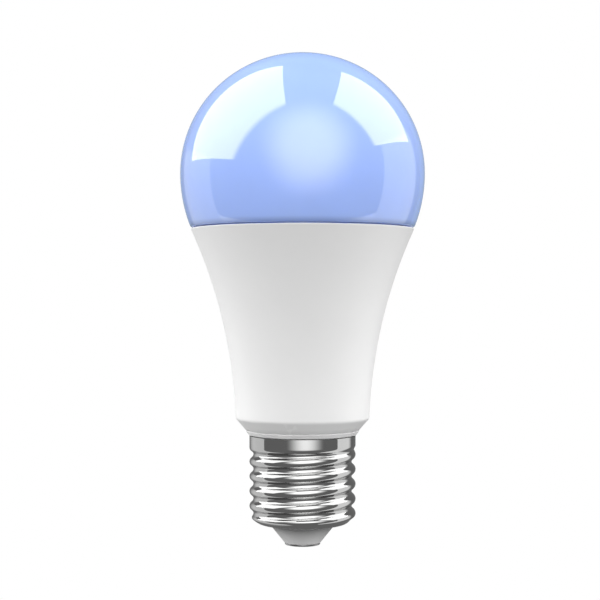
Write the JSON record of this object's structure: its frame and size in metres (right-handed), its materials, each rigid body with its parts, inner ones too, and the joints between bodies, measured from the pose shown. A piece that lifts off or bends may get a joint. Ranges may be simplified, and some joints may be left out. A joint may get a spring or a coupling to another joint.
{
  "type": "smart light bulb",
  "caption": "Smart LED light bulb with a round lit blue globe, a white flared housing and a nickel-plated right-hand screw cap.",
  "frame": {"origin": "centre of the lower face of the end contact, on the bulb's axis", "axes": "+Z along the bulb's axis from the screw cap to the globe; -Y faces the viewer and +X is to the viewer's right"},
  "size_m": [0.06, 0.06, 0.1206],
  "materials": {
    "blue_diffuser": "glossy translucent polycarbonate, lit blue from inside",
    "silicone": "matt silicone bead",
    "white_housing": "fine matt white moulded plastic",
    "nickel_plate": "polished nickel plate on brass sheet",
    "grey_insulator": "satin grey moulding",
    "contact_metal": "satin plated disc",
    "aluminium": "deep-drawn, satin",
    "thermal_compound": "matt grey silicone compound",
    "white_board": "white solder mask on an aluminium board",
    "steel": "bright zinc plate",
    "led_warm": "amber phosphor under clear resin",
    "led_cool": "yellow phosphor under clear resin",
    "led_colour": "clear resin in a white frame",
    "green_board": "green solder mask",
    "black_board": "black solder mask",
    "black_epoxy": "moulded epoxy",
    "black_sleeve": "heat-shrink sleeve",
    "capacitor_sleeve": "dark blue shrink sleeve",
    "film_red": "dipped red-brown lacquer",
    "ferrite": "sintered dark grey ferrite",
    "copper_wire": "enamelled copper",
    "yellow_tape": "polyester winding tape",
    "black_moulding": "black moulded plastic",
    "gold_plate": "gold-plated contact metal",
    "red_insulation": "PVC wire insulation",
    "black_insulation": "PVC wire insulation"
  },
  "bodies": {
    "root": {"diffuser_globe": "blue_diffuser", "sealant_ring": "silicone", "outer_housing": "white_housing", "screw_shell": "nickel_plate", "base_insulator": "grey_insulator", "centre_contact": "contact_metal", "heat_sink_cup": "aluminium", "thermal_pad": "thermal_compound", "led_board": "white_board", "board_screw_left": "steel", "board_screw_right": "steel", "led_warm_white_1": "led_warm", "led_cool_white_1": "led_cool", "led_warm_white_2": "led_warm", "led_cool_white_2": "led_cool", "led_warm_white_3": "led_warm", "led_cool_white_3": "led_cool", "led_warm_white_4": "led_warm", "led_cool_white_4": "led_cool", "led_warm_white_5": "led_warm", "led_cool_white_5": "led_cool", "led_warm_white_6": "led_warm", "led_cool_white_6": "led_cool", "led_colour_1": "led_colour", "led_colour_2": "led_colour", "led_colour_3": "led_colour", "led_colour_4": "led_colour", "driver_board": "green_board", "fusible_resistor": "black_sleeve", "emi_choke": "copper_wire", "bridge_rectifier": "black_epoxy", "input_capacitor": "capacitor_sleeve", "film_capacitor": "film_red", "transformer_core": "ferrite", "transformer_bobbin": "black_moulding", "transformer_winding": "yellow_tape", "output_capacitor": "capacitor_sleeve", "driver_chip": "black_epoxy", "output_diode": "black_epoxy", "led_header": "gold_plate", "led_socket": "black_moulding", "radio_board": "black_board", "radio_shield_can": "steel", "radio_antenna": "gold_plate", "live_wire": "red_insulation", "neutral_wire": "black_insulation"}
  },
  "joints": []
}
